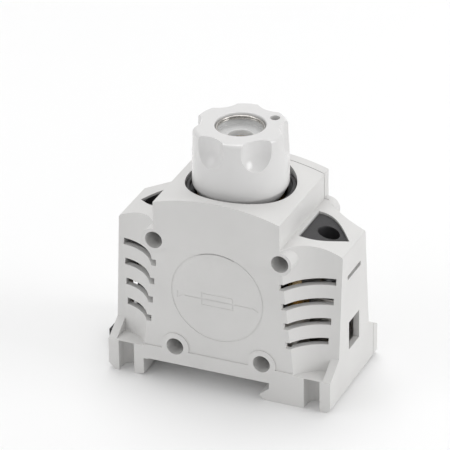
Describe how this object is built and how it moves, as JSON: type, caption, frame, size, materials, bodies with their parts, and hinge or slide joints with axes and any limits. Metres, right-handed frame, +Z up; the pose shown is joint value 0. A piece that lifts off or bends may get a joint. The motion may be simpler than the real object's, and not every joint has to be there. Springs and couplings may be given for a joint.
{
  "type": "cartridge fuse holder",
  "caption": "Rail-mounted screw-cap holder for a bottle-shaped cartridge fuse, with screw clamps in side wings and a sprung rail latch.",
  "frame": {"origin": "centre of the flat underside that rests on the mounting rail's flanges", "axes": "+X across the rail towards the fixed rail hook (wire direction), +Y along the rail, +Z up out of the screw cap"},
  "size_m": [0.0853, 0.042, 0.0879],
  "materials": {
    "grey_plastic": "fine matte",
    "dark_plastic": "satin",
    "black_plastic": "satin",
    "white_plastic": "glossy",
    "brass": "rolled sheet",
    "plated": "nickel plated",
    "steel": "zinc plated",
    "ceramic": "matt unglazed",
    "gauge_yellow": "glazed",
    "window_glass": "clear"
  },
  "bodies": {
    "holder": {"housing": "grey_plastic", "rear_cover": "grey_plastic", "socket_body": "dark_plastic", "thread_socket": "brass", "foot_contact": "brass", "contact_screw": "steel", "gauge_screw": "gauge_yellow", "line_busbar": "brass", "shell_rivet": "brass", "load_busbar": "brass", "funnel_right": "dark_plastic", "funnel_left": "dark_plastic"},
    "fuse_link": {"fuse_body": "ceramic", "fuse_top_cap": "plated", "fuse_foot_cap": "plated", "fuse_indicator": "gauge_yellow"},
    "cap": {"cap_body": "white_plastic", "cap_thread": "brass", "cap_contact": "brass", "window_ring": "plated", "window_glass": "window_glass"},
    "screw_right": {"clamp_screw_right": "steel"},
    "screw_left": {"clamp_screw_left": "steel"},
    "sleeve_right": {"clamp_sleeve_right": "plated"},
    "sleeve_left": {"clamp_sleeve_left": "plated"},
    "latch": {"rail_latch": "black_plastic", "latch_spring": "steel"}
  },
  "joints": [
    {"name": "cap_turn", "type": "hinge", "parent": "fuse_link", "child": "cap", "pos_m": [0, 0, 0.07], "axis": [0, 0, 1], "range_deg": [0, 1440]},
    {"name": "fuse_lift", "type": "slide", "parent": "holder", "child": "fuse_link", "axis": [0, 0, 1], "range_m": [0, 0.01452]},
    {"name": "clamp_screw_right_turn", "type": "hinge", "parent": "holder", "child": "screw_right", "pos_m": [0.0306, 0, 0.03], "axis": [0, 0, 1], "range_deg": [-3240, 0]},
    {"name": "clamp_sleeve_right_lift", "type": "slide", "parent": "holder", "child": "sleeve_right", "axis": [0, 0, 1], "range_m": [0, 0.009]},
    {"name": "clamp_screw_left_turn", "type": "hinge", "parent": "holder", "child": "screw_left", "pos_m": [-0.0306, 0, 0.03], "axis": [0, 0, 1], "range_deg": [-3240, 0]},
    {"name": "clamp_sleeve_left_lift", "type": "slide", "parent": "holder", "child": "sleeve_left", "axis": [0, 0, 1], "range_m": [0, 0.009]},
    {"name": "latch_slide", "type": "slide", "parent": "holder", "child": "latch", "axis": [-1, 0, 0], "range_m": [0, 0.004], "stiffness_N_per_m": 900, "springref_m": -0.003, "deforming": ["latch_spring"]}
  ],
  "couplings": [
    {"joint": "cap_turn", "follows": "fuse_lift", "rad_per_m": 1731.4},
    {"joint": "clamp_screw_right_turn", "follows": "clamp_sleeve_right_lift", "rad_per_m": -6283.2},
    {"joint": "clamp_screw_left_turn", "follows": "clamp_sleeve_left_lift", "rad_per_m": -6283.2}
  ]
}
